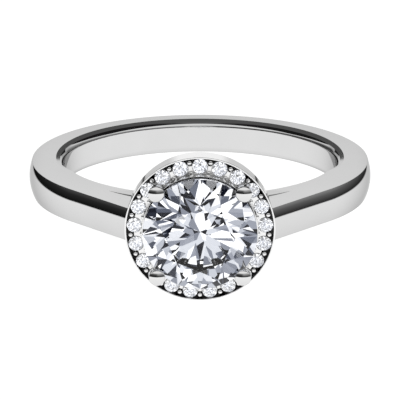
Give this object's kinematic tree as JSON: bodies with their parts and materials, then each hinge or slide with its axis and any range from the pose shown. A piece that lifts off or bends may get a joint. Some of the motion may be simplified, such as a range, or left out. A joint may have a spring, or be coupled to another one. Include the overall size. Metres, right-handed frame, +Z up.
{
  "type": "halo ring",
  "caption": "Finger ring with a round stone in four prongs, a halo of small round stones in a thin rim and straight rising shoulders, lying on its side.",
  "frame": {"origin": "centre of the finger hole", "axes": "+Z up, with the ring lying on its side; -Y from the finger hole towards the head, which is raised 7.7 degrees; +X to the right as seen from the front"},
  "size_m": [0.0206, 0.0235, 0.0079],
  "materials": {
    "white_gold": "high polish",
    "diamond": "cut and polished"
  },
  "bodies": {
    "root": {"mounting": "white_gold", "center_stone": "diamond", "halo_stone_01": "diamond", "halo_stone_02": "diamond", "halo_stone_03": "diamond", "halo_stone_04": "diamond", "halo_stone_05": "diamond", "halo_stone_06": "diamond", "halo_stone_07": "diamond", "halo_stone_08": "diamond", "halo_stone_09": "diamond", "halo_stone_10": "diamond", "halo_stone_11": "diamond", "halo_stone_12": "diamond", "halo_stone_13": "diamond", "halo_stone_14": "diamond", "halo_stone_15": "diamond", "halo_stone_16": "diamond", "halo_stone_17": "diamond", "halo_stone_18": "diamond", "halo_stone_19": "diamond", "halo_stone_20": "diamond", "halo_stone_21": "diamond"}
  },
  "joints": []
}
